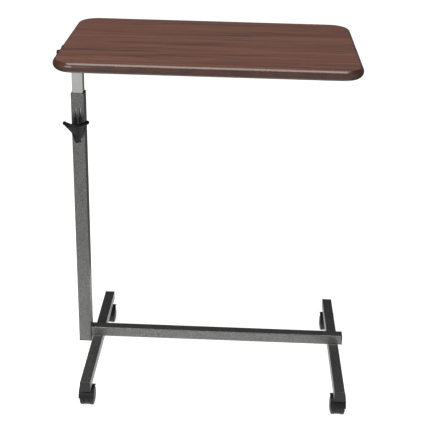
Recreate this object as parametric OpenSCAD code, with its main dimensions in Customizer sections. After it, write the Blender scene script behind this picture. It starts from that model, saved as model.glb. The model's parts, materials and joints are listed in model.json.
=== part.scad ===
// Overbed table: a laminate top on a telescoping mast, over a C-shaped steel base on
// four swivel casters.  Millimetres, +Z up, +X along the top away from the column, +Y to
// the back.  The origin is on the floor under the middle of the whole object.

/* [Tabletop] */
// Length of the top, edge moulding included
top_length = 762; // [700:1:900]
// Depth of the top, edge moulding included
top_depth = 480; // [380:1:560]
// Thickness of the top
top_thickness = 24; // [20:1:30]
// Radius of the top's corners
corner_radius = 58; // [30:1:90]
// Height of the top's surface above the floor, with the mast at rest
top_height = 990; // [965:1:1065]
// How far the half-round edge moulding bulges past the board
edge_bulge = 7; // [4:0.5:9]
// Middle of the top, measured along X from the origin
top_x = 0; // [-20:1:20]

/* [Column and mast] */
// Middle of the column, measured along X from the origin
column_x = -353; // [-358:1:-340]
// Width of the outer column along X
column_width = 36; // [35:1:40]
// Depth of the outer column along Y
column_depth = 38; // [37:1:44]
// Wall of the outer column
column_wall = 2; // [1.6:0.1:2.2]
// Underside of the column's bottom plug
column_bottom = 78; // [75:1:84]
// Top edge of the outer column
column_top = 843; // [825:1:855]
// Side of the square inner mast
mast_side = 29; // [28:0.5:29]
// Wall of the inner mast
mast_wall = 1.5; // [1.2:0.1:2]
// How far the mast sits behind the column's centre line
mast_setback = 1.2; // [1:0.1:1.3]
// Lower end of the inner mast at rest
mast_bottom = 245; // [225:5:265]

/* [Base] */
// Side of the square leg tubes
leg_side = 29; // [25:1:32]
// Wall of the leg tubes and the cross bar
leg_wall = 2; // [1.5:0.1:3]
// Length of each leg, end caps included
leg_length = 506; // [480:2:600]
// Underside of the leg tubes above the floor
leg_bottom = 64; // [63.5:0.5:66]
// Middle of the leg beside the column
left_leg_x = -317; // [-320:1:-296]
// Middle of the far leg
right_leg_x = 378; // [300:1:384]
// Depth of the cross bar along Y
bar_depth = 29; // [25:1:32]
// Height of the cross bar
bar_height = 30; // [25:1:32]
// Right end of the cross bar, end cap included
bar_right = 403; // [396:1:406]

/* [Casters] */
// Diameter of the caster wheels
wheel_diameter = 55; // [50:1:55]
// Distance from a leg's end to the caster stem
stem_inset = 34; // [32:1:50]
// Distance from the stem's axis to the wheel axle
caster_trail = 6; // [5:0.5:6]
// Overall width over both wheels of one caster
caster_width = 44; // [42:1:46]

/* [Height lever] */
// Top of the paddle's grip at its middle, above the floor
paddle_rim_z = 773; // [770:1:775]
// Lowest point of the paddle
paddle_tip_z = 707; // [705:1:709]
// Half the width of the paddle's grip
paddle_half_width = 36; // [33:1:38]
// How far in front of the column's centre line the middle of the grip reaches
paddle_reach = 68; // [64:1:70]
// How far the grip's ends sweep back from its middle
paddle_sweep = 17; // [12:1:19]
// Height of the lever's pivot
lever_pivot_z = 743; // [741:1:744]
// Distance from the column's centre line forward to the lever's pivot
lever_pivot_y = 28; // [28:0.5:29]
// Lower end of the column's two slots
slot_bottom = 707; // [703:1:710]
// Upper end of the column's two slots
slot_top = 803; // [790:1:804]

/* [Tilt mechanism] */
// Diameter of the beam that the top turns on
beam_diameter = 28.6; // [26:0.2:28.6]
// Right end of the beam
beam_right = 237; // [200:1:300]
// Distance of the tilt release shaft behind the centre line
release_y = 31; // [30:0.5:34]
// Length of the tilt handle's arm, shaft to finger knob
handle_arm = 56; // [40:1:60]
// How far the tilt handle reaches past the edge of the top
handle_reach = 22; // [16:1:24]

/* [Hidden] */
$fn = 64;
// Bare gap between bodies that slide past each other
gap = 0.3;
// Radial play of a shaft that turns in a bore
play = 0.05;
cut = 1;

column_y = column_depth / 2;
cavity_x = column_width / 2 - column_wall;
cavity_y = column_depth / 2 - column_wall;
mast_half = mast_side / 2;
mast_bore = mast_side - 2 * mast_wall;
mast_front = mast_setback - mast_half;
slot_offset = 6;
slot_width = 3.6;
wide_slot = 7;
wide_slot_bottom = lever_pivot_z + 20;
wide_slot_top = lever_pivot_z + 34;

board_z = top_height - top_thickness;
board_hx = top_length / 2 - edge_bulge;
board_hy = top_depth / 2 - edge_bulge;
board_r = corner_radius - edge_bulge;
barb_depth = 8;
barb_t = 3;

beam_r = beam_diameter / 2;
liner_wall = 2;
beam_z = board_z - liner_wall - beam_r - play;
beam_left = column_x - 19;
beam_cap = 2;
saddle_x = [-285, 165];
saddle_width = 32;
liner_half = beam_r + 4.5;
strap_t = 2.5;
foot = 17;
foot_screw_y = liner_half + strap_t + foot / 2;

release_z = board_z - 16;
shaft_r = 4;
plate_t = 2.5;
shoe_x0 = column_x + 21;
shoe_width = 16;
guide_t = 2;
outer_ear_x = column_x - 20;
handle_left = top_x - top_length / 2 - handle_reach;
bracket_screw_x = [column_x, shoe_x0 + 10];

leg_top = leg_bottom + leg_side;
cap_t = 2.5;
stem_y = leg_length / 2 - stem_inset;
wheel_r = wheel_diameter / 2;
axle_r = 3;
web_half = 6.8;
wheel_gap = 0.5;
hood_in = wheel_r + 1;
hood_out = wheel_r + 2.6;
stem_flange_t = 1.4;
swivel_top = leg_bottom - stem_flange_t - gap;

rod_r = 4;
cylinder_r = 11;
cylinder_len = 345;
seat_z = 95;
seat_t = 16;
piston_z = 460;
piston_t = 10;
eye_z = mast_bottom + 5 + cylinder_len + 13;

lever_pin_r = 2.5;
cheek_t = 3;
ear_x = 8.5;
ear_t = 1.5;
bracket_plate_t = 1.5;
shoe_back = mast_front - gap;
shoe_t = 2.6;
lug_end = column_y + 1;
toe_gap = 0.4;
grip_r = 5.5;
arm_web_y = 48;

paint = [0.50, 0.50, 0.49];
bright = [0.74, 0.74, 0.73];
black = [0.13, 0.13, 0.13];
zinc = [0.62, 0.62, 0.60];
nylon = [0.88, 0.87, 0.83];

// ---- helpers ----

// Box given by its low and high corners
module box(low, high) {
    translate(low) cube(high - low);
}

// Cylinder along X from x0 to x1, about the line (y, z)
module rod_x(x0, x1, r, y, z) {
    translate([x0, y, z]) rotate([0, 90, 0]) cylinder(h = x1 - x0, r = r);
}

// Rectangle with round corners, about the origin
module round_rect(hx, hy, r) {
    square([2 * (hx - r), 2 * hy], center = true);
    square([2 * hx, 2 * (hy - r)], center = true);
    for (sx = [-1, 1], sy = [-1, 1]) {
        translate([sx * (hx - r), sy * (hy - r)]) circle(r = r);
    }
}

// Carries an outline (first axis outward, second axis up) around the board's edge
module around_board() {
    sides = [[0, board_hx, board_hy], [180, board_hx, board_hy],
             [90, board_hy, board_hx], [-90, board_hy, board_hx]];
    translate([top_x, 0, board_z + top_thickness / 2]) {
        for (s = sides) {
            run = 2 * (s[1] - board_r);
            rotate([0, 0, s[0]]) translate([-run / 2, s[2], 0])
                rotate([90, 0, 90]) linear_extrude(run) children();
        }
        for (c = [[1, 1, 0], [-1, 1, 90], [-1, -1, 180], [1, -1, 270]]) {
            translate([c[0] * (board_hx - board_r), c[1] * (board_hy - board_r), 0])
                rotate([0, 0, c[2]]) rotate_extrude(angle = 90, $fn = 128)
                    translate([board_r, 0]) children();
        }
    }
}

// ---- base ----

module leg(x) {
    half = leg_side / 2;
    run = leg_length / 2 - cap_t;
    bore = half - leg_wall;
    color(paint) difference() {
        box([x - half, -run, leg_bottom], [x + half, run, leg_top]);
        box([x - bore, -run - cut, leg_bottom + leg_wall],
            [x + bore, run + cut, leg_top - leg_wall]);
        for (s = [-1, 1]) {
            translate([x, s * stem_y, leg_bottom - cut]) cylinder(h = 2 * cut + 2, r = 5);
        }
    }
}

module cross_bar() {
    left = column_x + column_width / 2;
    right = bar_right - cap_t;
    half = bar_depth / 2;
    color(paint) difference() {
        box([left, -half, leg_top], [right, half, leg_top + bar_height]);
        box([left - cut, -half + leg_wall, leg_top + leg_wall],
            [right + cut, half - leg_wall, leg_top + bar_height - leg_wall]);
    }
}

module outer_column() {
    hx = column_width / 2;
    color(paint) difference() {
        box([column_x - hx, -column_y, column_bottom + cap_t],
            [column_x + hx, column_y, column_top]);
        box([column_x - cavity_x, -cavity_y, column_bottom],
            [column_x + cavity_x, cavity_y, column_top + cut]);
        for (s = [-1, 1]) {
            x = column_x + s * slot_offset;
            box([x - slot_width / 2, -column_y - cut, slot_bottom],
                [x + slot_width / 2, -cavity_y + cut, slot_top]);
            box([x - wide_slot / 2, -column_y - cut, wide_slot_bottom],
                [x + wide_slot / 2, -cavity_y + cut, wide_slot_top]);
        }
    }
}

module leg_end_caps() {
    half = leg_side / 2;
    bore = half - leg_wall;
    run = leg_length / 2;
    color(black) for (x = [left_leg_x, right_leg_x], s = [-1, 1]) {
        translate([x, 0, leg_bottom + half]) mirror([0, s > 0 ? 0 : 1, 0]) {
            box([-half, run - cap_t, -half], [half, run, half]);
            box([-bore, run - cap_t - 10, -bore], [bore, run - cap_t, bore]);
        }
    }
}

module cross_bar_cap() {
    half = bar_depth / 2;
    top = leg_top + bar_height;
    color(black) {
        box([bar_right - cap_t, -half, leg_top], [bar_right, half, top]);
        box([bar_right - cap_t - 10, -half + leg_wall, leg_top + leg_wall],
            [bar_right - cap_t, half - leg_wall, top - leg_wall]);
    }
}

module column_bottom_plug() {
    hx = column_width / 2;
    color(black) {
        box([column_x - hx, -column_y, column_bottom],
            [column_x + hx, column_y, column_bottom + cap_t]);
        box([column_x - cavity_x, -cavity_y, column_bottom + cap_t],
            [column_x + cavity_x, cavity_y, seat_z]);
    }
}

module column_top_bush() {
    half = mast_half + gap;
    color(black) difference() {
        box([column_x - cavity_x, -cavity_y, slot_top + 2],
            [column_x + cavity_x, cavity_y, column_top]);
        box([column_x - half, mast_setback - half, slot_top],
            [column_x + half, mast_setback + half, column_top + cut]);
    }
}

module spring_seat() {
    color(zinc) box([column_x - cavity_x, -cavity_y, seat_z],
                    [column_x + cavity_x, cavity_y, seat_z + seat_t]);
}

module gas_spring_rod() {
    color(bright) translate([column_x, mast_setback, seat_z + seat_t]) {
        cylinder(h = piston_z - seat_z - seat_t, r = rod_r);
        cylinder(h = 6, r = 8);
        translate([0, 0, piston_z - seat_z - seat_t])
            cylinder(h = piston_t, r = cylinder_r - 2 - play);
    }
}

// ---- casters: 1 front left, 2 back left, 3 front right, 4 back right ----

function caster_x(i) = i < 3 ? left_leg_x : right_leg_x;
function caster_y(i) = (i % 2 == 1 ? -1 : 1) * stem_y;

module caster_sockets() {
    color(zinc) for (i = [1:4]) {
        translate([caster_x(i), caster_y(i), leg_bottom + leg_wall]) difference() {
            cylinder(h = 12, r = 10);
            translate([0, 0, -cut]) cylinder(h = 12 + 2 * cut, r = 5);
        }
    }
}

module caster_stems() {
    pin_bottom = wheel_r + 10;
    color(zinc) for (i = [1:4]) {
        translate([caster_x(i), caster_y(i), 0]) {
            translate([0, 0, pin_bottom])
                cylinder(h = leg_bottom - pin_bottom, r = 4);
            translate([0, 0, leg_bottom - stem_flange_t])
                cylinder(h = stem_flange_t, r = 10);
            translate([0, 0, leg_bottom]) cylinder(h = 16, r = 5);
        }
    }
}

module caster_hood(i) {
    cover_half = caster_width / 2 - 0.6;
    color(black) translate([caster_x(i), caster_y(i), 0]) difference() {
        union() {
            rod_x(-web_half, web_half, wheel_r - 1, caster_trail, wheel_r);
            intersection() {
                difference() {
                    rod_x(-cover_half, cover_half, hood_out, caster_trail, wheel_r);
                    rod_x(-cover_half - cut, cover_half + cut, hood_in, caster_trail, wheel_r);
                }
                box([-cover_half, caster_trail - hood_out, wheel_r + 6],
                    [cover_half, caster_trail + 21, wheel_r + hood_out + cut]);
            }
            box([-web_half, -web_half, wheel_r + 18],
                [web_half, web_half, wheel_r + hood_in + 1]);
            translate([0, 0, wheel_r + hood_out - 2])
                cylinder(h = swivel_top - wheel_r - hood_out + 2, r = 10);
        }
        translate([0, 0, wheel_r + 9]) cylinder(h = swivel_top, r = 4 + play);
        rod_x(-web_half - cut, web_half + cut, axle_r, caster_trail, wheel_r);
    }
}

module caster_axle(i) {
    half = caster_width / 2 - 2;
    color(zinc) translate([caster_x(i), caster_y(i), 0])
        rod_x(-half, half, axle_r, caster_trail, wheel_r);
}

// side is -1 for the left wheel of a pair and +1 for the right one
module caster_wheel(i, side) {
    inner = web_half + wheel_gap;
    width = caster_width / 2 - inner;
    outline = [[0, 0], [wheel_r - 2, 0], [wheel_r, 2], [wheel_r, width - 4.5],
               [wheel_r - 1.5, width - 2.5], [wheel_r - 4.5, width - 1.4],
               [11, width - 0.3], [6, width], [0, width]];
    color(black) translate([caster_x(i) + side * inner, caster_y(i) + caster_trail, wheel_r])
        rotate([0, side * 90, 0]) difference() {
            rotate_extrude() polygon(outline);
            translate([0, 0, -cut])
                cylinder(h = caster_width / 2 - 2 - inner + cut + gap, r = axle_r + play);
        }
}

// ---- height lever and lock ----

module lever_bracket() {
    low = lever_pivot_z - 6;
    high = lever_pivot_z + 6;
    color(zinc) translate([column_x, 0, 0]) difference() {
        union() {
            box([-ear_x - ear_t, -column_y - bracket_plate_t, low],
                [ear_x + ear_t, -column_y, high]);
            for (s = [-1, 1]) {
                mirror([s > 0 ? 0 : 1, 0, 0])
                    box([ear_x, -lever_pivot_y - 6, low], [ear_x + ear_t, -column_y, high]);
            }
        }
        rod_x(-ear_x - ear_t - cut, ear_x + ear_t + cut, lever_pin_r,
              -lever_pivot_y, lever_pivot_z);
    }
}

module lever_pivot_pin() {
    reach = ear_x + ear_t;
    color(zinc) translate([column_x, 0, 0]) {
        rod_x(-reach - 0.4, reach + 0.4, lever_pin_r, -lever_pivot_y, lever_pivot_z);
        rod_x(reach, reach + 1, 3.8, -lever_pivot_y, lever_pivot_z);
        rod_x(-reach - 1, -reach, 3.8, -lever_pivot_y, lever_pivot_z);
    }
}

// Close-wound torsion spring between the cheeks, its free leg resting on the bracket
module lever_spring() {
    leg_low = lever_pivot_z - 4.4;
    color(zinc) translate([column_x, 0, 0]) difference() {
        union() {
            rod_x(-3.6, 3.6, 4.4, -lever_pivot_y, lever_pivot_z);
            box([-3.6, -lever_pivot_y, leg_low],
                [-2.4, -column_y - bracket_plate_t, leg_low + 1.2]);
        }
        rod_x(-4.6, 4.6, lever_pin_r + 0.4, -lever_pivot_y, lever_pivot_z);
    }
}

// Two cheeks on the pivot, a toe below that bears on the shoe, and a web in the paddle
module height_lever_arm() {
    side_view = [[-lever_pivot_y - 6, lever_pivot_z], [-arm_web_y, lever_pivot_z + 4],
                 [-arm_web_y, lever_pivot_z + 13], [-arm_web_y + 4, lever_pivot_z + 13],
                 [-lever_pivot_y + 3, lever_pivot_z + 5]];
    edge = slot_offset + cheek_t / 2;
    toe_y = -lug_end - toe_gap;
    toe_low = lever_pivot_z - 18;
    color(zinc) translate([column_x, 0, 0]) difference() {
        union() {
            for (x = [-edge, edge - cheek_t]) {
                translate([x, 0, 0]) rotate([90, 0, 90]) linear_extrude(cheek_t)
                    polygon(side_view);
                rod_x(x, x + cheek_t, 6, -lever_pivot_y, lever_pivot_z);
                box([x, -lever_pivot_y - 3, toe_low],
                    [x + cheek_t, -lever_pivot_y + 3, lever_pivot_z]);
                box([x, -lever_pivot_y - 3, toe_low], [x + cheek_t, toe_y, toe_low + 6]);
            }
            box([-edge, -arm_web_y, lever_pivot_z + 4],
                [edge, -arm_web_y + 3, lever_pivot_z + 13]);
        }
        rod_x(-edge - cut, edge + cut, lever_pin_r + play, -lever_pivot_y, lever_pivot_z);
    }
}

// One station of the bowed grip, t from -1 at its left end to +1 at its right end.  The
// grip hangs a little askew: its right end is higher than its left end.
module grip_station(t) {
    translate([t * (paddle_half_width - grip_r) - 1,
               grip_r - paddle_reach + paddle_sweep * t * t + 1.5 * t,
               paddle_rim_z - grip_r + 3.5 * t * t + 1.5 * t]) sphere(r = grip_r, $fn = 24);
}

// A level slice of the paddle's body, a half ellipse bulging forward from y = back
module slice(x, z, half, front, back) {
    translate([x, back, z]) linear_extrude(1) intersection() {
        resize([2 * half, 2 * (front + back)]) circle(r = half, $fn = 32);
        translate([-half, -front - back]) square([2 * half, front + back]);
    }
}

module height_lever_paddle() {
    back = -column_y - 4;
    middle_z = lever_pivot_z - 4;
    toe_half = slot_offset + cheek_t / 2;
    color(black) translate([column_x, 0, 0]) difference() {
        union() {
            for (t = [-1:0.25:0.75]) {
                hull() {
                    grip_station(t);
                    grip_station(t + 0.25);
                }
            }
            hull() {
                grip_station(-0.85);
                grip_station(-0.5);
                slice(-1, middle_z, 17.5, 46, back);
            }
            hull() {
                slice(-2.5, paddle_tip_z, 5.5, 30, back);
                slice(-2.5, paddle_tip_z + 12, 10, 36, back);
                slice(0, middle_z, 18.5, 47, back);
            }
            hull() {
                slice(0, middle_z, 18.5, 47, back);
                slice(-1, paddle_rim_z - 8, 28, 64, back - 10);
            }
        }
        hull() {
            slice(-2, paddle_tip_z + 8, 6.5, 29, back + 1);
            slice(0, middle_z, 15.5, 43, back + 1);
        }
        hull() {
            slice(0, middle_z, 15.5, 43, back + 1);
            slice(0, paddle_rim_z - 15, 22, 52, back + 1);
            slice(0, paddle_rim_z + 5, 22, 53, back + 1);
        }
        box([-toe_half, -arm_web_y, lever_pivot_z], [toe_half, back, lever_pivot_z + 13]);
        box([-toe_half - 0.5, -lever_pivot_y - 3.5, lever_pivot_z - 18.6],
            [toe_half + 0.5, back, lever_pivot_z]);
    }
}

module height_brake_shoe() {
    front = shoe_back - shoe_t;
    toe_low = lever_pivot_z - 18;
    color(black) translate([column_x, 0, 0]) {
        box([-12, front, toe_low], [12, shoe_back, wide_slot_top - 1]);
        for (x = [-slot_offset, slot_offset]) {
            box([x - cheek_t / 2, -lug_end, toe_low + 0.5],
                [x + cheek_t / 2, front, toe_low + 6]);
        }
    }
}

// ---- mast ----

module inner_mast() {
    half_bore = mast_bore / 2;
    color(bright) translate([column_x, mast_setback, 0]) difference() {
        box([-mast_half, -mast_half, mast_bottom], [mast_half, mast_half, beam_z - 6]);
        box([-half_bore, -half_bore, mast_bottom - cut], [half_bore, half_bore, beam_z]);
        rod_x(-mast_half - cut, mast_half + cut, beam_r, 0, beam_z);
        rod_x(-mast_half - cut, mast_half + cut, 3, 0, eye_z);
    }
}

module mast_glide() {
    hx = cavity_x - gap;
    hy = cavity_y - gap;
    color(nylon) translate([column_x, 0, 0]) difference() {
        box([-hx, -hy, mast_bottom - 12], [hx, hy, mast_bottom + 22]);
        translate([0, mast_setback, 0])
            box([-mast_half, -mast_half, mast_bottom],
                [mast_half, mast_half, mast_bottom + 22 + cut]);
        translate([0, mast_setback, mast_bottom - 12 - cut]) cylinder(h = 14, r = 9);
    }
}

module gas_spring_cylinder() {
    base = mast_bottom + 5;
    color(black) translate([column_x, mast_setback, 0]) difference() {
        union() {
            translate([0, 0, base]) cylinder(h = cylinder_len, r = cylinder_r);
            translate([0, 0, base + cylinder_len]) cylinder(h = 22, r = 6);
        }
        translate([0, 0, base + 15]) cylinder(h = cylinder_len - 25, r = cylinder_r - 2);
        translate([0, 0, base - cut]) cylinder(h = 20, r = rod_r + play);
        rod_x(-10, 10, 3, 0, eye_z);
    }
}

module cylinder_pin() {
    color(zinc) rod_x(column_x - mast_half, column_x + mast_half, 3, mast_setback, eye_z);
}

module top_beam() {
    color(zinc) difference() {
        rod_x(beam_left + beam_cap, beam_right - beam_cap, beam_r, mast_setback, beam_z);
        rod_x(beam_left, beam_right, beam_r - 1.6, mast_setback, beam_z);
    }
}

module beam_end_caps() {
    color(black) {
        rod_x(beam_left, beam_left + beam_cap, beam_r, mast_setback, beam_z);
        rod_x(beam_left + beam_cap, beam_left + 10, beam_r - 1.6, mast_setback, beam_z);
        rod_x(beam_right - beam_cap, beam_right, beam_r, mast_setback, beam_z);
        rod_x(beam_right - 10, beam_right - beam_cap, beam_r - 1.6, mast_setback, beam_z);
    }
}

// ---- tabletop ----

module table_board() {
    color([0.36, 0.24, 0.20]) difference() {
        translate([top_x, 0, board_z]) linear_extrude(top_thickness)
            round_rect(board_hx, board_hy, board_r, $fn = 128);
        around_board() translate([-barb_depth - 1, -barb_t / 2]) square([barb_depth + 2, barb_t]);
        for (x = saddle_x, s = [-1, 1]) {
            translate([x, mast_setback + s * foot_screw_y, board_z - cut])
                cylinder(h = 14 + cut, r = 2);
        }
        for (x = bracket_screw_x) {
            translate([x, release_y + 8, board_z - cut]) cylinder(h = 14 + cut, r = 2);
        }
    }
}

module edge_moulding() {
    rise = top_thickness / 2;
    r = (rise * rise + edge_bulge * edge_bulge) / (2 * edge_bulge);
    color([0.24, 0.15, 0.13]) around_board() {
        intersection() {
            translate([edge_bulge - r, 0]) circle(r = r, $fn = 96);
            translate([0, -rise]) square([edge_bulge, top_thickness]);
        }
        translate([-barb_depth, -barb_t / 2]) square([barb_depth, barb_t]);
    }
}

module saddle_liners() {
    color(nylon) for (x = saddle_x) {
        difference() {
            box([x - saddle_width / 2, mast_setback - liner_half, beam_z - beam_r - 2],
                [x + saddle_width / 2, mast_setback + liner_half, board_z]);
            rod_x(x - saddle_width, x + saddle_width, beam_r + play, mast_setback, beam_z);
        }
    }
}

module saddle_straps() {
    out = liner_half + strap_t;
    low = beam_z - beam_r - 2;
    half = saddle_width / 2 - 3;
    color(zinc) for (x = saddle_x) {
        translate([x, mast_setback, 0]) difference() {
            union() {
                box([-half, -out, low - strap_t], [half, out, board_z]);
                box([-half, -out - foot, board_z - strap_t], [half, out + foot, board_z]);
            }
            box([-half - cut, -liner_half, low], [half + cut, liner_half, board_z + cut]);
            for (s = [-1, 1]) {
                translate([0, s * foot_screw_y, board_z - strap_t - cut])
                    cylinder(h = strap_t + 2 * cut, r = 2);
            }
        }
    }
}

// Pan-head wood screw, its head under a plate of the given thickness
module wood_screw(x, y, plate) {
    translate([x, y, board_z - plate - 2.2]) cylinder(h = 2.2, r = 4);
    translate([x, y, board_z - plate]) cylinder(h = plate + 14, r = 2);
}

module saddle_screws() {
    color(zinc) for (x = saddle_x, s = [-1, 1]) {
        wood_screw(x, mast_setback + s * foot_screw_y, strap_t);
    }
}

module tilt_bracket() {
    right = shoe_x0 + shoe_width + gap + guide_t;
    low = release_z - 8;
    ears = [[outer_ear_x, guide_t + 0.5], [shoe_x0 - gap - guide_t, guide_t],
            [shoe_x0 + shoe_width + gap, guide_t]];
    color(zinc) difference() {
        union() {
            box([outer_ear_x, release_y - 8, board_z - plate_t], [right, release_y + 14, board_z]);
            for (e = ears) {
                box([e[0], release_y - 8, low], [e[0] + e[1], release_y + 8, board_z]);
            }
            for (e = [ears[1], ears[2]]) {
                box([e[0], mast_setback + beam_r + 1, release_z - 5],
                    [e[0] + e[1], release_y, release_z + 5]);
            }
        }
        rod_x(outer_ear_x - cut, right + cut, shaft_r + play, release_y, release_z);
        for (x = bracket_screw_x) {
            translate([x, release_y + 8, board_z - plate_t - cut])
                cylinder(h = plate_t + 2 * cut, r = 2);
        }
    }
}

module tilt_bracket_screws() {
    color(zinc) for (x = bracket_screw_x) {
        wood_screw(x, release_y + 8, plate_t);
    }
}

// Close-wound torsion spring on the release shaft, its leg against the plate
module tilt_spring() {
    x0 = outer_ear_x + 4;
    color(zinc) difference() {
        union() {
            rod_x(x0, x0 + 9, 5.8, release_y, release_z);
            box([x0, release_y + 4.4, release_z], [x0 + 1.2, release_y + 5.6, board_z - plate_t]);
        }
        rod_x(x0 - cut, x0 + 10, shaft_r + 0.4, release_y, release_z);
    }
}

module tilt_shaft() {
    cam_x = shoe_x0 + 1;
    color(zinc) {
        rod_x(handle_left + 10, shoe_x0 + shoe_width + 5, shaft_r, release_y, release_z);
        rod_x(cam_x, cam_x + shoe_width - 2, 6, release_y - 1, release_z);
    }
}

// Hub on the shaft's outer end, a tail behind it, and an arm forward to a finger knob
module tilt_handle() {
    inner = outer_ear_x - 3;
    knob_y = release_y - handle_arm;
    knob_z = release_z + 5;
    color(black) difference() {
        union() {
            rod_x(handle_left + 3, inner, 8, release_y, release_z);
            hull() {
                rod_x(handle_left + 4, handle_left + 12, 5, release_y, release_z);
                rod_x(handle_left + 4, handle_left + 12, 5, knob_y + 8, knob_z);
            }
            hull() {
                rod_x(handle_left + 2, handle_left + 12, 6, release_y, release_z);
                rod_x(handle_left + 2, handle_left + 12, 5, release_y + 16, release_z + 3);
            }
            hull() {
                rod_x(handle_left, handle_left + 14, 7, knob_y + 7, knob_z);
                rod_x(handle_left + 1, handle_left + 12, 6, knob_y + 18, knob_z - 1);
            }
        }
        rod_x(handle_left + 10, inner + cut, shaft_r, release_y, release_z);
    }
}

module tilt_brake_shoe() {
    back = release_y - 7 - gap;
    color(black) difference() {
        box([shoe_x0, mast_setback + beam_r - 6, release_z - 6],
            [shoe_x0 + shoe_width, back, release_z + 6]);
        rod_x(shoe_x0 - cut, shoe_x0 + shoe_width + cut, beam_r + gap, mast_setback, beam_z);
    }
}

// ---- assembly ----

leg(left_leg_x);  // left_leg
leg(right_leg_x);  // right_leg
cross_bar();
outer_column();
leg_end_caps();
cross_bar_cap();
column_bottom_plug();
column_top_bush();
spring_seat();
gas_spring_rod();
caster_sockets();
caster_stems();
lever_bracket();
lever_pivot_pin();
lever_spring();
height_lever_arm();
height_lever_paddle();
height_brake_shoe();
inner_mast();
mast_glide();
gas_spring_cylinder();
cylinder_pin();
top_beam();
beam_end_caps();
table_board();
edge_moulding();
saddle_liners();
saddle_straps();
saddle_screws();
tilt_bracket();
tilt_bracket_screws();
tilt_spring();
tilt_shaft();
tilt_handle();
tilt_brake_shoe();
caster_hood(1);  // caster_hood_1
caster_hood(2);  // caster_hood_2
caster_hood(3);  // caster_hood_3
caster_hood(4);  // caster_hood_4
caster_axle(1);  // caster_axle_1
caster_axle(2);  // caster_axle_2
caster_axle(3);  // caster_axle_3
caster_axle(4);  // caster_axle_4
caster_wheel(1, -1);  // caster_wheel_1a
caster_wheel(1, 1);  // caster_wheel_1b
caster_wheel(2, -1);  // caster_wheel_2a
caster_wheel(2, 1);  // caster_wheel_2b
caster_wheel(3, -1);  // caster_wheel_3a
caster_wheel(3, 1);  // caster_wheel_3b
caster_wheel(4, -1);  // caster_wheel_4a
caster_wheel(4, 1);  // caster_wheel_4b
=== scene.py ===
"""Overbed table: the looks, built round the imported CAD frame. Metres, +Z up."""

import json
import math

import bmesh
import bpy
from mathutils import Matrix, Vector


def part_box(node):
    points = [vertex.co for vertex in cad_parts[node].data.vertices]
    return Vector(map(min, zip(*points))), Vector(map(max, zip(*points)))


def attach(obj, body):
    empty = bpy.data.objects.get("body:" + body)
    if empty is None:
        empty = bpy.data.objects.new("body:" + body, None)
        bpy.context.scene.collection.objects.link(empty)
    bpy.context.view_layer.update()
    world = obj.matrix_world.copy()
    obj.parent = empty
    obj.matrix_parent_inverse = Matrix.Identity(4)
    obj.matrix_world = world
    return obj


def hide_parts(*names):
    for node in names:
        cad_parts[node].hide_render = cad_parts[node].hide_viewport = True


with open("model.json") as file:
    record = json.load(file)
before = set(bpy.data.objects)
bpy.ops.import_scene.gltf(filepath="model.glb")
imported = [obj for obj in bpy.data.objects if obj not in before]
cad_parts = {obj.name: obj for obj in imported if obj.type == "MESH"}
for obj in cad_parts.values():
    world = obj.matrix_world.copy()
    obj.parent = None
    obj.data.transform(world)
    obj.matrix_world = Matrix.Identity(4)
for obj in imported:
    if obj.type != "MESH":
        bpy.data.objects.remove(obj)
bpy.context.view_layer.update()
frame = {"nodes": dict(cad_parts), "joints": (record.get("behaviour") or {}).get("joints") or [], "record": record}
nodes = frame["nodes"]
joints = {j["name"]: j for j in frame["joints"]}

MM = 0.001
TUBE_WALL = 2 * MM
TUBE_RADIUS = 3 * MM
WELD_RADIUS = 1.7 * MM
MOULD_VOXEL = 0.6 * MM
FLOOR_HALF = 60
CASTERS = {1: "front_left", 2: "back_left", 3: "front_right", 4: "back_right"}


# ---------------------------------------------------------------- mesh helpers


def mark_sharp(bm, degrees=32):
    """Smooth faces, with edges steeper than the angle kept crisp."""
    limit = math.radians(degrees)
    for face in bm.faces:
        face.smooth = True
    for edge in bm.edges:
        edge.smooth = not (edge.is_manifold and edge.calc_face_angle(0) > limit)


def piece(name, bm, body, material, replaces=(), sharp=32, even=False):
    """Turns a bmesh into a piece that rides on a CAD body."""
    bmesh.ops.recalc_face_normals(bm, faces=bm.faces)
    mark_sharp(bm, sharp)
    mesh = bpy.data.meshes.new(name)
    bm.to_mesh(mesh)
    bm.free()
    mesh.materials.append(material)
    obj = bpy.data.objects.new(name, mesh)
    bpy.context.scene.collection.objects.link(obj)
    if even:
        shading = obj.modifiers.new("even shading", "WEIGHTED_NORMAL")
        shading.keep_sharp = True
        shading.weight = 80
    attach(obj, body)
    if replaces:
        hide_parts(*replaces)
    return obj


def cad_bmesh(node):
    """A clean copy of a CAD node's mesh: welded, with flat faces made whole."""
    bm = bmesh.new()
    bm.from_mesh(nodes[node].data)
    bmesh.ops.remove_doubles(bm, verts=bm.verts, dist=0.005 * MM)
    bmesh.ops.dissolve_limit(bm, angle_limit=math.radians(0.5), verts=bm.verts, edges=bm.edges)
    return bm


def work_object(bm):
    """A passing object for modifiers to work on, made from a bmesh that it frees."""
    mesh = bpy.data.meshes.new("work")
    bm.to_mesh(mesh)
    bm.free()
    obj = bpy.data.objects.new("work", mesh)
    bpy.context.scene.collection.objects.link(obj)
    return obj


def bevel_modifier(bm, width, segments=2, degrees=30):
    """Rounds every edge steeper than the angle, and gives back the new bmesh."""
    obj = work_object(bm)
    bevel = obj.modifiers.new("bevel", "BEVEL")
    bevel.width = width
    bevel.segments = segments
    bevel.limit_method = "ANGLE"
    bevel.angle_limit = math.radians(degrees)
    bevel.use_clamp_overlap = True
    return evaluated(obj)


def evaluated(obj):
    """The object's mesh with its modifiers applied, as a bmesh; the object goes away."""
    depsgraph = bpy.context.evaluated_depsgraph_get()
    out = bmesh.new()
    out.from_mesh(obj.evaluated_get(depsgraph).to_mesh())
    bpy.data.objects.remove(obj)
    return out


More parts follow.
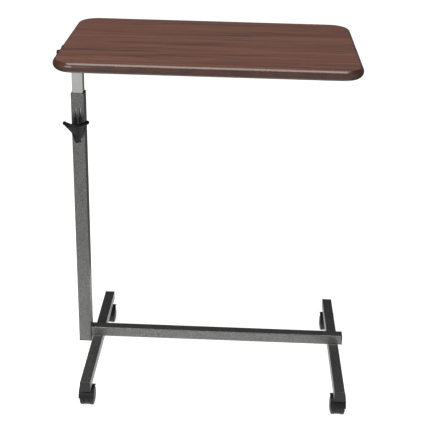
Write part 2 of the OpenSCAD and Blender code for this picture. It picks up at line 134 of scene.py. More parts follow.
def softened(bm, voxel, rounds):
    """One moulded skin: voxel remesh, smoothing, then a quarter of the faces kept."""
    obj = work_object(bm)
    remesh = obj.modifiers.new("remesh", "REMESH")
    remesh.mode = "VOXEL"
    remesh.voxel_size = voxel
    smooth = obj.modifiers.new("smooth", "SMOOTH")
    smooth.factor = 0.5
    smooth.iterations = rounds
    fewer = obj.modifiers.new("fewer", "DECIMATE")
    fewer.ratio = 0.25
    return evaluated(obj)


def add_box(bm, low, high):
    """A plain box between its low and high corners."""
    low, high = Vector(low), Vector(high)
    place = Matrix.Translation((low + high) / 2) @ Matrix.Diagonal((*(high - low), 1))
    return bmesh.ops.create_cube(bm, size=1, matrix=place)["verts"]


def add_loops(bm, loops, caps=True):
    """Skins a run of equal closed point loops, with a face over each end if capped."""
    rows = [[bm.verts.new(p) for p in loop] for loop in loops]
    count = len(rows[0])
    for low, high in zip(rows, rows[1:]):
        for i in range(count):
            j = (i + 1) % count
            bm.faces.new((low[i], low[j], high[j], high[i]))
    if caps:
        bm.faces.new(rows[0][::-1])
        bm.faces.new(rows[-1])
    return rows


def join_ends(bm, rows):
    """Joins the last loop of a skin back to its first."""
    last, first = rows[-1], rows[0]
    for i in range(len(first)):
        j = (i + 1) % len(first)
        bm.faces.new((last[i], last[j], first[j], first[i]))


def add_turned(bm, profile, place, steps=48):
    """Turns a closed (along, radius) outline about the local Z axis, then places it."""
    rings = []
    for along, radius in profile:
        if radius < 1e-6:
            rings.append([bm.verts.new(place @ Vector((0, 0, along)))])
            continue
        rings.append([
            bm.verts.new(place @ Vector((
                radius * math.cos(math.tau * k / steps),
                radius * math.sin(math.tau * k / steps), along)))
            for k in range(steps)])
    for a, b in zip(rings, rings[1:] + rings[:1]):
        if len(a) == len(b) == 1:
            continue
        for k in range(steps):
            n = (k + 1) % steps
            if len(a) == 1:
                bm.faces.new((a[0], b[k], b[n]))
            elif len(b) == 1:
                bm.faces.new((a[k], b[0], a[n]))
            else:
                bm.faces.new((a[k], b[k], b[n], a[n]))


def along_x(x, y, z, flip=False):
    """Places a turned outline with its axis along +X, or along -X."""
    turn = Matrix.Rotation(math.radians(-90 if flip else 90), 4, "Y")
    return Matrix.Translation((x, y, z)) @ turn


def add_tube(bm, path, radius, sides=8):
    """A round wire along a path; its radius is a length or a function of the point."""
    path = [Vector(p) for p in path]
    rows = []
    normal = None
    for i, point in enumerate(path):
        ahead = path[min(i + 1, len(path) - 1)]
        behind = path[max(i - 1, 0)]
        along = (ahead - behind).normalized()
        if normal is None:
            start = Vector((0, 0, 1)) if abs(along.z) < 0.9 else Vector((1, 0, 0))
            normal = along.cross(start).normalized()
        normal = (normal - along * normal.dot(along)).normalized()
        across = along.cross(normal)
        size = radius(i) if callable(radius) else radius
        rows.append([
            point + (normal * math.cos(math.tau * k / sides)
                     + across * math.sin(math.tau * k / sides)) * size
            for k in range(sides)])
    add_loops(bm, rows)


def rounded_section(half_x, half_y, radius, steps=5):
    """Points round a rectangle with round corners, centred on the origin."""
    points = []
    for sx, sy, start in ((1, 1, 0), (-1, 1, 90), (-1, -1, 180), (1, -1, 270)):
        centre = Vector((sx * (half_x - radius), sy * (half_y - radius)))
        for k in range(steps + 1):
            a = math.radians(start + 90 * k / steps)
            points.append(centre + radius * Vector((math.cos(a), math.sin(a))))
    return points


# ---------------------------------------------------------------- material helpers


class Nodes:
    """A short way to write a material's node tree."""

    def __init__(self, name):
        self.material = bpy.data.materials.new(name)
        self.material.use_nodes = True
        self.tree = self.material.node_tree
        self.shader = self.tree.nodes["Principled BSDF"]
        self.coords = self.new("ShaderNodeTexCoord").outputs["Object"]

    def new(self, kind, **values):
        """A node with the properties or inputs that the keywords name."""
        node = self.tree.nodes.new(kind)
        for key, value in values.items():
            if hasattr(node, key):
                setattr(node, key, value)
            else:
                node.inputs[key.replace("_", " ")].default_value = value
        return node

    def link(self, a, b):
        self.tree.links.new(a, b)

    def stretched(self, scale):
        """Object coordinates, scaled per axis."""
        mapping = self.new("ShaderNodeMapping")
        mapping.inputs["Scale"].default_value = scale
        self.link(self.coords, mapping.inputs["Vector"])
        return mapping.outputs["Vector"]

    def noise(self, vector, scale, detail=3, roughness=0.5, distortion=0.0):
        node = self.new("ShaderNodeTexNoise")
        node.inputs["Scale"].default_value = scale
        node.inputs["Detail"].default_value = detail
        node.inputs["Roughness"].default_value = roughness
        node.inputs["Distortion"].default_value = distortion
        self.link(vector, node.inputs["Vector"])
        return node.outputs["Fac"]

    def ramp(self, value, stops):
        """stops: (place, colour) pairs, each colour an RGB tuple or one grey."""
        node = self.new("ShaderNodeValToRGB")
        ramp = node.color_ramp
        while len(ramp.elements) < len(stops):
            ramp.elements.new(0.5)
        for element, (place, colour) in zip(ramp.elements, stops):
            grey = isinstance(colour, (int, float))
            element.position = place
            element.color = (colour, colour, colour, 1) if grey else (*colour, 1)
        self.link(value, node.inputs["Fac"])
        return node.outputs["Color"]

    def mix(self, factor, a, b, blend="MIX"):
        """Blends two colours; each value is a socket, a colour or a number."""
        node = self.new("ShaderNodeMix")
        node.data_type = "RGBA"
        node.blend_type = blend
        for key, value in ((0, factor), (6, a), (7, b)):
            socket = node.inputs[key]
            if isinstance(value, bpy.types.NodeSocket):
                self.link(value, socket)
            elif isinstance(value, tuple):
                socket.default_value = (*value, 1)
            else:
                socket.default_value = value
        return node.outputs[2]

    def span(self, value, low, high):
        """Maps 0..1 to low..high."""
        node = self.new("ShaderNodeMapRange")
        node.inputs["To Min"].default_value = low
        node.inputs["To Max"].default_value = high
        self.link(value, node.inputs["Value"])
        return node.outputs["Result"]

    def bump(self, height, strength, distance):
        node = self.new("ShaderNodeBump")
        node.inputs["Strength"].default_value = strength
        node.inputs["Distance"].default_value = distance
        self.link(height, node.inputs["Height"])
        self.link(node.outputs["Normal"], self.shader.inputs["Normal"])

    def set(self, **values):
        """Sets or links the shader's inputs, and gives back the material."""
        for key, value in values.items():
            socket = self.shader.inputs[key.replace("_", " ")]
            if isinstance(value, bpy.types.NodeSocket):
                self.link(value, socket)
            elif isinstance(value, tuple):
                socket.default_value = (*value, 1)
            else:
                socket.default_value = value
        return self.material


# ---------------------------------------------------------------- materials


def walnut():
    """Dark walnut laminate: long grain along X, fine pores, satin press finish."""
    m = Nodes("walnut_laminate")
    drift = m.noise(m.stretched((1.1, 7, 7)), 3.0, 3, 0.5)
    shifted = m.new("ShaderNodeVectorMath", operation="MULTIPLY_ADD")
    m.link(drift, shifted.inputs[0])
    shifted.inputs[1].default_value = (0.0, 0.06, 0.0)
    m.link(m.coords, shifted.inputs[2])
    long_grain = m.new("ShaderNodeMapping")
    long_grain.inputs["Scale"].default_value = (1.0, 30, 1)
    m.link(shifted.outputs[0], long_grain.inputs["Vector"])
    bands = m.noise(long_grain.outputs["Vector"], 1.6, 5, 0.62, 0.5)
    streaks = m.noise(m.stretched((2.2, 150, 1)), 1.5, 4, 0.6, 0.2)
    pores = m.noise(m.stretched((26, 950, 1)), 1.0, 2, 0.5)
    base = m.ramp(bands, [(0.32, (0.112, 0.050, 0.034)), (0.47, (0.185, 0.079, 0.054)),
                          (0.58, (0.222, 0.095, 0.066)), (0.72, (0.142, 0.062, 0.043))])
    lines = m.ramp(streaks, [(0.38, 0.58), (0.50, 1.0), (0.66, 1.12)])
    coloured = m.mix(0.85, base, lines, "MULTIPLY")
    specks = m.ramp(pores, [(0.30, 0.50), (0.42, 1.0)])
    m.bump(m.mix(0.5, streaks, pores), 0.12, 0.0004)
    rough = m.span(streaks, 0.34, 0.46)
    return m.set(Base_Color=m.mix(0.7, coloured, specks, "MULTIPLY"), Roughness=rough,
                 Specular_IOR_Level=0.45, Coat_Weight=0.10, Coat_Roughness=0.25)


def backer():
    """Plain brown-black balancing laminate on the underside."""
    m = Nodes("board_backer")
    cloud = m.noise(m.coords, 90, 3)
    fine = m.noise(m.coords, 1400, 2)
    m.bump(fine, 0.2, 0.0002)
    return m.set(Base_Color=m.mix(cloud, (0.035, 0.028, 0.025), (0.05, 0.04, 0.036)),
                 Roughness=m.span(cloud, 0.55, 0.68))


def edge_vinyl():
    """Extruded brown vinyl: faint grain along the edge, a satin skin, light scuffs."""
    m = Nodes("edge_vinyl")
    scuff = m.noise(m.coords, 40, 4, 0.6)
    grain = m.noise(m.stretched((6, 6, 240)), 1.0, 2)
    fine = m.noise(m.coords, 900, 2)
    m.bump(fine, 0.03, 0.00005)
    tone = m.ramp(scuff, [(0.35, (0.062, 0.019, 0.009)), (0.65, (0.088, 0.028, 0.014))])
    shade = m.ramp(grain, [(0.35, 0.90), (0.65, 1.02)])
    return m.set(Base_Color=m.mix(0.6, tone, shade, "MULTIPLY"),
                 Roughness=m.span(scuff, 0.20, 0.28), Specular_IOR_Level=0.5,
                 Coat_Weight=0.6, Coat_Roughness=0.12)


def silver_vein():
    """Silver-vein powder coat: a grey metallic film broken by fine dark veins."""
    m = Nodes("silver_vein_paint")
    cells = m.new("ShaderNodeTexVoronoi", feature="DISTANCE_TO_EDGE")
    cells.inputs["Scale"].default_value = 380
    warp = m.noise(m.coords, 130, 3, 0.6)
    bent = m.new("ShaderNodeVectorMath", operation="MULTIPLY_ADD")
    m.link(warp, bent.inputs[0])
    bent.inputs[1].default_value = (0.009, 0.009, 0.009)
    m.link(m.coords, bent.inputs[2])
    m.link(bent.outputs[0], cells.inputs["Vector"])
    veins = m.ramp(cells.outputs["Distance"], [(0.02, 0.0), (0.20, 1.0)])
    cloud = m.noise(m.coords, 30, 4, 0.6)
    film = m.mix(cloud, (0.28, 0.28, 0.275), (0.40, 0.40, 0.39))
    colour = m.mix(veins, (0.10, 0.10, 0.10), film)
    m.bump(veins, 0.3, 0.0002)
    return m.set(Base_Color=colour, Metallic=0.9, Roughness=m.span(veins, 0.50, 0.33),
                 Coat_Weight=0.15, Coat_Roughness=0.2)


def satin_steel(name, tone, scale, rough=(0.28, 0.42)):
    """Drawn and plated steel: fine lines along one axis, soft cloudy tone."""
    m = Nodes(name)
    lines = m.noise(m.stretched(scale), 1.0, 3, 0.6)
    cloud = m.noise(m.coords, 30, 3)
    m.bump(lines, 0.10, 0.0001)
    dark = tuple(0.86 * c for c in tone)
    return m.set(Base_Color=m.mix(cloud, dark, tone), Metallic=0.95,
                 Roughness=m.span(lines, *rough), Anisotropic=0.3)


def zinc():
    """Zinc plating: pale spangle, slightly blue, with dull patches."""
    m = Nodes("zinc_steel")
    cells = m.new("ShaderNodeTexVoronoi")
    cells.inputs["Scale"].default_value = 240
    m.link(m.coords, cells.inputs["Vector"])
    cloud = m.noise(m.coords, 60, 4, 0.6)
    tone = m.mix(cells.outputs["Distance"], (0.44, 0.45, 0.46), (0.56, 0.56, 0.55))
    m.bump(cloud, 0.08, 0.0003)
    return m.set(Base_Color=tone, Metallic=0.95, Roughness=m.span(cloud, 0.30, 0.50))


def moulded(name, tone, rough=(0.36, 0.50), grain=1500, strength=0.22, shine=0.5):
    """Moulded plastic: fine spark-eroded grain and slight sheen change."""
    m = Nodes(name)
    fine = m.noise(m.coords, grain, 2, 0.5)
    cloud = m.noise(m.coords, 45, 3)
    m.bump(fine, strength, 0.0002)
    pale = tuple(1.45 * c + 0.004 for c in tone)
    return m.set(Base_Color=m.mix(cloud, tone, pale), Roughness=m.span(cloud, *rough),
                 Specular_IOR_Level=shine)


def tread():
    """Hard nylon wheel: satin black with faint dust and running scuffs on the rim."""
    m = Nodes("caster_wheel")
    dust = m.noise(m.coords, 120, 4, 0.65)
    lines = m.noise(m.stretched((1600, 30, 30)), 1.0, 2)
    m.bump(lines, 0.12, 0.0002)
    tone = m.ramp(dust, [(0.40, (0.009, 0.009, 0.009)), (0.75, (0.028, 0.027, 0.026))])
    return m.set(Base_Color=tone, Roughness=m.span(dust, 0.26, 0.46),
                 Specular_IOR_Level=0.35)


WALNUT = walnut()
BACKER = backer()
VINYL = edge_vinyl()
PAINT = silver_vein()
MAST = satin_steel("satin_mast", (0.78, 0.78, 0.76), (700, 700, 3), (0.16, 0.26))
CHROME = satin_steel("polished_rod", (0.82, 0.82, 0.82), (300, 300, 2), (0.06, 0.12))
ZINC = zinc()
BLACK = moulded("black_plastic", (0.005, 0.005, 0.005), (0.30, 0.42), shine=0.22)
CAP = moulded("end_cap_plastic", (0.024, 0.024, 0.024), (0.50, 0.62), shine=0.35)
FRICTION = moulded("friction_rubber", (0.014, 0.014, 0.013), (0.70, 0.85), 700, 0.5)
NYLON = moulded("nylon", (0.56, 0.54, 0.48), (0.38, 0.50), 800, 0.15)
LACQUER = moulded("cylinder_paint", (0.010, 0.010, 0.010), (0.16, 0.26), 400, 0.08)
HOOD = moulded("caster_plastic", (0.008, 0.008, 0.008), (0.30, 0.44), shine=0.35)
TREAD = tread()

BY_SLOT = {
    "walnut_laminate": WALNUT, "edge_vinyl": VINYL, "silver_vein_paint": PAINT,
    "satin_mast": MAST, "polished_rod": CHROME, "zinc_steel": ZINC, "black_plastic": BLACK,
    "end_cap_plastic": CAP, "friction_rubber": FRICTION, "nylon": NYLON,
    "cylinder_paint": LACQUER, "caster_plastic": HOOD, "caster_wheel": TREAD,
}
NODE_SLOT = {s["node"]: s["material_slot"] for s in frame["record"]["subparts"]}
NODE_BODY = {n: b for b, ns in frame["record"]["behaviour"]["bodies"].items() for n in ns}


def rounded_node(node, width, segments=2):
    """A CAD node's shape with its edges rounded, in place of the node."""
    slot = NODE_SLOT[node]
    bm = bevel_modifier(cad_bmesh(node), width, segments)
    return piece(node + "_skin", bm, NODE_BODY[node], BY_SLOT[slot], (node,), even=True)


# ---------------------------------------------------------------- tabletop


def tabletop():
    """The board with its backer, and the half-round moulding that wraps it."""
    low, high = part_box("table_board")
    outer_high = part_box("edge_moulding")[1]
    centre = (low + high) / 2
    half = (high - low) / 2
    bulge = outer_high.x - high.x
    radius = 51 * MM
    corner_steps = 20
    seam = 0.35 * MM

    def outline(grow):
        ring = rounded_section(half.x + grow, half.y + grow, radius + grow, corner_steps)
        return [(p.x + centre.x, p.y + centre.y) for p in ring]

    bm = bmesh.new()
    sheet = 0.9 * MM
    steps = ((0, low.z + sheet), (0, high.z - 0.4 * MM), (-0.4 * MM, high.z))
    add_loops(bm, [[(x, y, z) for x, y in outline(g - seam)] for g, z in steps])
    piece("table_board_skin", bm, "top", WALNUT, ("table_board",), even=True)

    bm = bmesh.new()
    steps = ((-0.3 * MM, low.z), (0, low.z + 0.3 * MM), (0, low.z + sheet - 0.1 * MM))
    add_loops(bm, [[(x, y, z) for x, y in outline(g - seam)] for g, z in steps])
    piece("board_backer", bm, "top", BACKER)

    rise = half.z
    bow = (rise * rise + bulge * bulge) / (2 * bulge)
    lean = math.asin(rise / bow)
    arc_steps = 14
    profile = [(0.0, rise - 1.0 * MM), (0.5 * MM, rise - 0.15 * MM)]
    for k in range(arc_steps + 1):
        a = lean - 2 * lean * k / arc_steps
        out = bulge - bow + bow * math.cos(a)
        if out > 0.9 * MM:
            profile.append((out, bow * math.sin(a)))
    profile += [(0.5 * MM, -rise + 0.15 * MM), (0.0, -rise + 1.0 * MM)]
    rings = [[(x, y, centre.z + up) for x, y in outline(out)] for out, up in profile]
    bm = bmesh.new()
    join_ends(bm, add_loops(bm, rings, caps=False))
    piece("edge_moulding_skin", bm, "top", VINYL, ("edge_moulding",))


# ---------------------------------------------------------------- tubes


def square_tube(node, axis):
    """A painted, rolled square tube along an axis (0 X, 1 Y, 2 Z), open at both ends."""
    low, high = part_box(node)
    centre, half = (low + high) / 2, (high - low) / 2
    across = [i for i in range(3) if i != axis]
    edge = 0.3 * MM

    def ring(along, grow):
        section = rounded_section(half[across[0]] + grow, half[across[1]] + grow,
                                  max(TUBE_RADIUS + grow, 0.6 * MM))
        loop = []
        for p in section:
            point = [0, 0, 0]
            point[across[0]] = centre[across[0]] + p.x
            point[across[1]] = centre[across[1]] + p.y
            point[axis] = along
            loop.append(point)
        return loop

    a, b = low[axis], high[axis]
    loops = [ring(a + edge, 0), ring(b - edge, 0), ring(b, -edge),
             ring(b, -TUBE_WALL + edge), ring(b - edge, -TUBE_WALL),
             ring(a + edge, -TUBE_WALL), ring(a, -TUBE_WALL + edge), ring(a, -edge)]
    bm = bmesh.new()
    join_ends(bm, add_loops(bm, loops, caps=False))
    piece(node + "_tube", bm, "base", PAINT, (node,), even=True)


def weld_bead(bm, start, end):
    """A rippled bead between two points, its ends tapered."""
    start, end = Vector(start), Vector(end)
    count = max(8, int((end - start).length / (0.8 * MM)))
    path = [start.lerp(end, i / count) for i in range(count + 1)]

    def size(i):
        taper = min(1.0, 0.35 + min(i, count - i) * 0.3)
        return WELD_RADIUS * taper * (1 + 0.10 * math.sin(i * 2.1))

    add_tube(bm, path, size)


def base_frame():
    """Legs, cross bar and column, with the weld beads where they meet."""
    square_tube("left_leg", 1)
    square_tube("right_leg", 1)
    square_tube("cross_bar", 0)
    column_tube()

    bar_low, bar_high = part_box("cross_bar")
    column_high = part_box("outer_column")[1]
    bm = bmesh.new()
    x = column_high.x + 0.3 * MM
    inset = 2.6 * MM
    for y in (bar_low.y, bar_high.y):
        weld_bead(bm, (x, y, bar_low.z + inset), (x, y, bar_high.z - inset))
    for z in (bar_low.z, bar_high.z):
        weld_bead(bm, (x, bar_low.y + inset, z), (x, bar_high.y - inset, z))
    for side in ("left", "right"):
        low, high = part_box(side + "_leg")
        for y in (bar_low.y, bar_high.y):
            weld_bead(bm, (low.x + inset, y, high.z), (high.x - inset, y, high.z))
    piece("weld_beads", bm, "base", PAINT, sharp=60)


def round_corners(bm, node, radius):
    """Rounds the four long outer corners of an upright tube."""
    low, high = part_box(node)
    corners = []
    for edge in bm.edges:
        a, b = (v.co for v in edge.verts)
        outside = min(abs(a.x - low.x), abs(a.x - high.x)) < 0.01 * MM
        if abs(a.z - b.z) > 0.8 * (high.z - low.z) and outside:
            corners.append(edge)
    bmesh.ops.bevel(bm, geom=corners, offset=radius, segments=5, profile=0.5, affect="EDGES")
    return bm


def column_tube():
    """The outer column: a rolled tube with the lever's slots punched in its front."""
    bm = round_corners(cad_bmesh("outer_column"), "outer_column", TUBE_RADIUS)
    bm = bevel_modifier(bm, 0.35 * MM, 2, 40)
    piece("outer_column_tube", bm, "base", PAINT, ("outer_column",),
          even=True)


def caps():
    """Leg, bar, column and beam end caps with softened faces."""
    for node, width in (("leg_end_caps", 0.9), ("cross_bar_cap", 0.9),
                        ("column_bottom_plug", 0.8), ("beam_end_caps", 0.5),
                        ("column_top_bush", 0.4)):
        rounded_node(node, width * MM, 3)


def mast():
    """The plated inner mast: a rounded square tube, coped over the beam."""
    bm = round_corners(cad_bmesh("inner_mast"), "inner_mast", 2.4 * MM)
    low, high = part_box("inner_mast")
    piece("inner_mast_tube", bm, "mast", MAST, ("inner_mast",), even=True)
    beam_low, beam_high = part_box("top_beam")
    centre = (beam_low + beam_high) / 2
    radius = (beam_high.z - beam_low.z) / 2
    bm = bmesh.new()
    for x in (low.x, high.x):
        for side in (-1, 1):
            path = []
            for k in range(15):
                a = math.radians(-78 + 56 * k / 14)
                path.append((x, centre.y + side * radius * math.cos(a),
                             centre.z + radius * math.sin(a)))
            add_tube(bm, path, 1.1 * MM)
    piece("mast_weld", bm, "mast", ZINC, sharp=60)


# ---------------------------------------------------------------- height lever


def paddle():
    """The moulded paddle: a bowed grip over a scoop that narrows to a round tip."""
    bm = softened(cad_bmesh("height_lever_paddle"), MOULD_VOXEL, 14)
    piece("height_lever_scoop", bm, "height_lever", BLACK,
          ("height_lever_paddle",), sharp=60)


def coil(bm, centre, radius, wire, turns, length, leg):
    """A torsion spring along X: close coils and one straight leg at its first end."""
    steps = int(turns * 28)
    path = []
    for i in range(steps + 1):
        a = math.tau * turns * i / steps
        path.append(centre + Vector((length * (i / steps - 0.5),
                                     radius * math.cos(a), radius * math.sin(a))))
    path.insert(0, path[0] + Vector(leg))
    add_tube(bm, path, wire)


def lever_parts():
    """Bracket, pin, spring, steel arm and shoe of the height lever."""
    rounded_node("lever_bracket", 0.4 * MM)
    rounded_node("lever_pivot_pin", 0.5 * MM)
    rounded_node("height_lever_arm", 0.4 * MM)
    rounded_node("height_brake_shoe", 0.4 * MM)
    pivot = Vector(joints["height_lever_pivot"]["pos_m"])
    bm = bmesh.new()
    coil(bm, pivot, 3.7 * MM, 0.6 * MM, 4.5, 5.4 * MM, (0, 6.0 * MM, -1.5 * MM))
    piece("lever_spring_coil", bm, "base", ZINC, ("lever_spring",), sharp=80)


# ---------------------------------------------------------------- under the top


def saddles_and_bracket():
    """Liners, straps, screws, tilt bracket and its spring."""
    rounded_node("saddle_liners", 0.8 * MM, 3)
    rounded_node("saddle_straps", 0.6 * MM, 3)
    rounded_node("tilt_bracket", 0.4 * MM)
    rounded_node("top_beam", 0.4 * MM)
    for node in ("saddle_screws", "tilt_bracket_screws"):
        screws(node)
    x0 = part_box("tilt_spring")[0].x
    axis = Vector(joints["tilt_handle_turn"]["pos_m"])
    bm = bmesh.new()
    centre = Vector((x0 + 4.5 * MM, axis.y, axis.z))
    coil(bm, centre, 5.1 * MM, 0.6 * MM, 6.5, 7.6 * MM, (0, 0, 14 * MM))
    piece("tilt_spring_coil", bm, "top", ZINC, ("tilt_spring",), sharp=80)


def screw_boxes(node):
    """The low and high corners of each screw in a CAD node."""
    source = cad_bmesh(node)
    boxes = []
    left = set(source.verts)
    while left:
        stack = [left.pop()]
        group = []
        while stack:
            v = stack.pop()
            group.append(v.co.copy())
            for e in v.link_edges:
                w = e.other_vert(v)
                if w in left:
                    left.discard(w)
                    stack.append(w)
        boxes.append((Vector([min(p[i] for p in group) for i in range(3)]),
                      Vector([max(p[i] for p in group) for i in range(3)])))
    source.free()
    return boxes


def screws(node):
    """Pan-head screws with a cross recess, one for each screw of the CAD node."""
    bm = bmesh.new()
    recess = bmesh.new()
    head = 2.2 * MM
    for low, high in screw_boxes(node):
        middle = (low + high) / 2
        length = high.z - low.z
        add_turned(bm, [(0.0, 0.0), (0.0, 1.6 * MM), (0.35 * MM, 3.0 * MM),
                        (1.1 * MM, 3.8 * MM), (head - 0.2 * MM, 4.0 * MM),
                        (head, 3.9 * MM), (head, 2.0 * MM), (length - 3 * MM, 2.0 * MM),
                        (length, 0.0)], Matrix.Translation((middle.x, middle.y, low.z)), 28)
        for half_x, half_y in ((1.9 * MM, 0.35 * MM), (0.35 * MM, 1.9 * MM)):
            add_box(recess, (middle.x - half_x, middle.y - half_y, low.z - 1 * MM),
                    (middle.x + half_x, middle.y + half_y, low.z + 1.1 * MM))
    cut = cut_away(bm, recess)
    piece(node + "_skin", cut, NODE_BODY[node], ZINC, (node,))


def cut_away(bm, cutter):
    """Takes one bmesh out of another with the exact solver."""
    objs = []
    for source in (bm, cutter):
        bmesh.ops.recalc_face_normals(source, faces=source.faces)
        objs.append(work_object(source))
    cut = objs[0].modifiers.new("cut", "BOOLEAN")
    cut.operation = "DIFFERENCE"
    cut.solver = "EXACT"
    cut.use_self = True
    cut.object = objs[1]
    out = evaluated(objs[0])
    bpy.data.objects.remove(objs[1])
    return out


def tilt_release():
    """The handle past the edge of the top, its shaft and its shoe."""
    bm = softened(cad_bmesh("tilt_handle"), MOULD_VOXEL, 6)
    piece("tilt_handle_skin", bm, "tilt_release", BLACK,
          ("tilt_handle",), sharp=60)
    rounded_node("tilt_shaft", 0.4 * MM)
    rounded_node("tilt_brake_shoe", 0.4 * MM)


# ---------------------------------------------------------------- inside the column


def gas_spring():
    """Cylinder, rod, seat, glide and cross pin."""
    rounded_node("gas_spring_cylinder", 0.8 * MM, 3)
    rounded_node("gas_spring_rod", 0.5 * MM)
    rounded_node("cylinder_pin", 0.3 * MM)
    rounded_node("spring_seat", 0.6 * MM)
    rounded_node("mast_glide", 0.6 * MM)


# ---------------------------------------------------------------- casters


def wheel_outline(size):
    """Wheel section as (along, radius): hub recess inside, crowned tread, domed face.

    Lengths along are in millimetres, and radii past the hub are parts of the wheel's.
    """
    hub = [(0.0, 3.1), (0.0, 6.2)]
    face = [(1.2, 0.28), (1.2, 0.76), (0.2, 0.816), (0.0, 0.904), (0.5, 0.96),
            (1.6, 0.992), (4.0, 1.0), (8.0, 1.0), (9.6, 0.992), (10.6, 0.968),
            (11.0, 0.936), (11.1, 0.916), (10.7, 0.90), (10.9, 0.884), (11.8, 0.848),
            (12.9, 0.736), (13.7, 0.584), (14.2, 0.424), (14.35, 0.356), (14.0, 0.34),
            (14.1, 0.32), (14.6, 0.288), (14.7, 0.20), (14.7, 0.0), (13.2, 0.0)]
    outline = [(along * MM, radius * MM) for along, radius in hub]
    outline += [(along * MM, part * size) for along, part in face]
    return outline + [(13.2 * MM, 3.1 * MM)]


def casters():
    """Hoods, axles, wheels and the fixed stems and sockets."""
    for i, place in CASTERS.items():
        hood = "caster_hood_%d" % i
        bm = bevel_modifier(cad_bmesh(hood), 0.9 * MM, 3, 35)
        piece(hood + "_skin", bm, "caster_" + place, HOOD, (hood,), even=True)
        rounded_node("caster_axle_%d" % i, 0.4 * MM)
        for mark, side in (("a", "left"), ("b", "right")):
            node = "caster_wheel_%d%s" % (i, mark)
            body = "wheel_%s_%s" % (place, side)
            axle = Vector(joints["roll_%s_%s" % (place, side)]["pos_m"])
            low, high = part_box(node)
            inner = high.x if side == "left" else low.x
            bm = bmesh.new()
            outline = wheel_outline((high.z - low.z) / 2)
            add_turned(bm, outline, along_x(inner, axle.y, axle.z, side == "left"), 64)
            piece(node + "_skin", bm, body, TREAD, (node,), sharp=38)
    rounded_node("caster_stems", 0.3 * MM)
    rounded_node("caster_sockets", 0.4 * MM)


# ---------------------------------------------------------------- stage


def camera():
    """The main camera: its place, its turn, dip and roll in radians, and its lens."""
    place = Vector((0.0856, -2.4633, 1.6421))
    turn, dip, roll = -0.0274, 0.3874, 0.0229
    focal = 80.98
    level = Vector((math.sin(turn), math.cos(turn), 0))
    side = Vector((math.cos(turn), -math.sin(turn), 0))
    up_z = Vector((0, 0, 1))
    ahead = level * math.cos(dip) - up_z * math.sin(dip)
    above = level * math.sin(dip) + up_z * math.cos(dip)
    right = side * math.cos(roll) + above * math.sin(roll)
    above = above * math.cos(roll) - side * math.sin(roll)
    data = bpy.data.cameras.new("camera")
    data.sensor_width = 36
    data.lens = focal
    data.shift_y = -0.11
    data.clip_start = 0.05
    obj = bpy.data.objects.new("camera", data)
    obj.matrix_world = Matrix((
        (right.x, above.x, -ahead.x, place.x),
        (right.y, above.y, -ahead.y, place.y),
        (right.z, above.z, -ahead.z, place.z),
        (0, 0, 0, 1)))
    bpy.context.scene.collection.objects.link(obj)
    bpy.context.scene.camera = obj


def area_light(name, place, aim, size, power):
    """A rectangular light at a place, aimed at a point."""
    data = bpy.data.lights.new(name, "AREA")
    data.shape = "RECTANGLE"
    data.size, data.size_y = size
    data.energy = power
    obj = bpy.data.objects.new(name, data)
    obj.location = place
    obj.rotation_euler = (Vector(aim) - Vector(place)).to_track_quat("-Z", "Y").to_euler()
    bpy.context.scene.collection.objects.link(obj)


def stage_sheet(name, half_x, half_y, z, glow, tone):
    """A flat pale sheet on the floor: its own light, its diffuse tone."""
    bm = bmesh.new()
    corners = [bm.verts.new((x, y, z)) for x, y in
               ((-half_x, -half_y), (half_x, -half_y), (half_x, half_y), (-half_x, half_y))]
    bm.faces.new(corners)
    mesh = bpy.data.meshes.new(name)
    bm.to_mesh(mesh)
    bm.free()
    m = Nodes(name)
    cloud = m.noise(m.coords, 3, 2)
    m.set(Base_Color=m.mix(cloud, (tone, tone, tone), (tone + 0.03,) * 3), Roughness=0.9,
          Emission_Color=(1.0, 1.0, 1.0), Emission_Strength=glow)
    mesh.materials.append(m.material)
    m.material.cycles.emission_sampling = "NONE"
    sheet = bpy.data.objects.new(name, mesh)
    bpy.context.scene.collection.objects.link(sheet)
    return sheet


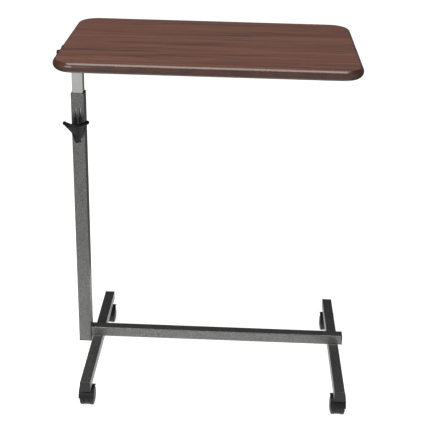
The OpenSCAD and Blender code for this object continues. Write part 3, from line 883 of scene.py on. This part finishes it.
def studio():
    """White floor, a white card under the table, a graded world and soft lights."""
    floor = stage_sheet("floor", FLOOR_HALF, FLOOR_HALF, 0, 0.86, 0.88)
    floor.visible_diffuse = False
    floor.visible_glossy = False
    card = stage_sheet("bounce_card", 0.75, 0.55, -0.001, 0.85, 0.5)
    card.visible_camera = False

    world = bpy.data.worlds.new("studio")
    world.use_nodes = True
    tree = world.node_tree
    sky = tree.nodes["Background"]

    def new(kind, **inputs):
        node = tree.nodes.new(kind)
        for key, value in inputs.items():
            node.inputs[key.replace("_", " ")].default_value = value
        return node

    split = new("ShaderNodeSeparateXYZ")
    tree.links.new(new("ShaderNodeTexCoord").outputs["Generated"], split.inputs[0])
    front = new("ShaderNodeMapRange", From_Min=0.3, From_Max=-0.6, To_Min=0.13, To_Max=0.60)
    tree.links.new(split.outputs["Y"], front.inputs["Value"])
    rise = new("ShaderNodeMapRange", From_Min=-0.1, From_Max=0.9, To_Min=1.0, To_Max=0.55)
    tree.links.new(split.outputs["Z"], rise.inputs["Value"])
    graded = tree.nodes.new("ShaderNodeMath")
    graded.operation = "MULTIPLY"
    tree.links.new(front.outputs["Result"], graded.inputs[0])
    tree.links.new(rise.outputs["Result"], graded.inputs[1])
    seen = tree.nodes.new("ShaderNodeMix")
    seen.inputs["B"].default_value = 1.0
    tree.links.new(tree.nodes.new("ShaderNodeLightPath").outputs["Is Camera Ray"],
                   seen.inputs["Factor"])
    tree.links.new(graded.outputs[0], seen.inputs["A"])
    sky.inputs["Color"].default_value = (1, 1, 1, 1)
    tree.links.new(seen.outputs[0], sky.inputs["Strength"])
    bpy.context.scene.world = world

    area_light("key", (-1.7, -2.4, 1.9), (-0.1, 0, 0.6), (1.6, 1.2), 24)
    area_light("overhead", (-0.1, -0.75, 3.0), (-0.1, -0.6, 0.9), (2.8, 1.1), 42)
    bpy.context.scene.view_settings.view_transform = "Standard"


tabletop()
base_frame()
caps()
mast()
paddle()
lever_parts()
saddles_and_bracket()
tilt_release()
gas_spring()
casters()
camera()
studio()
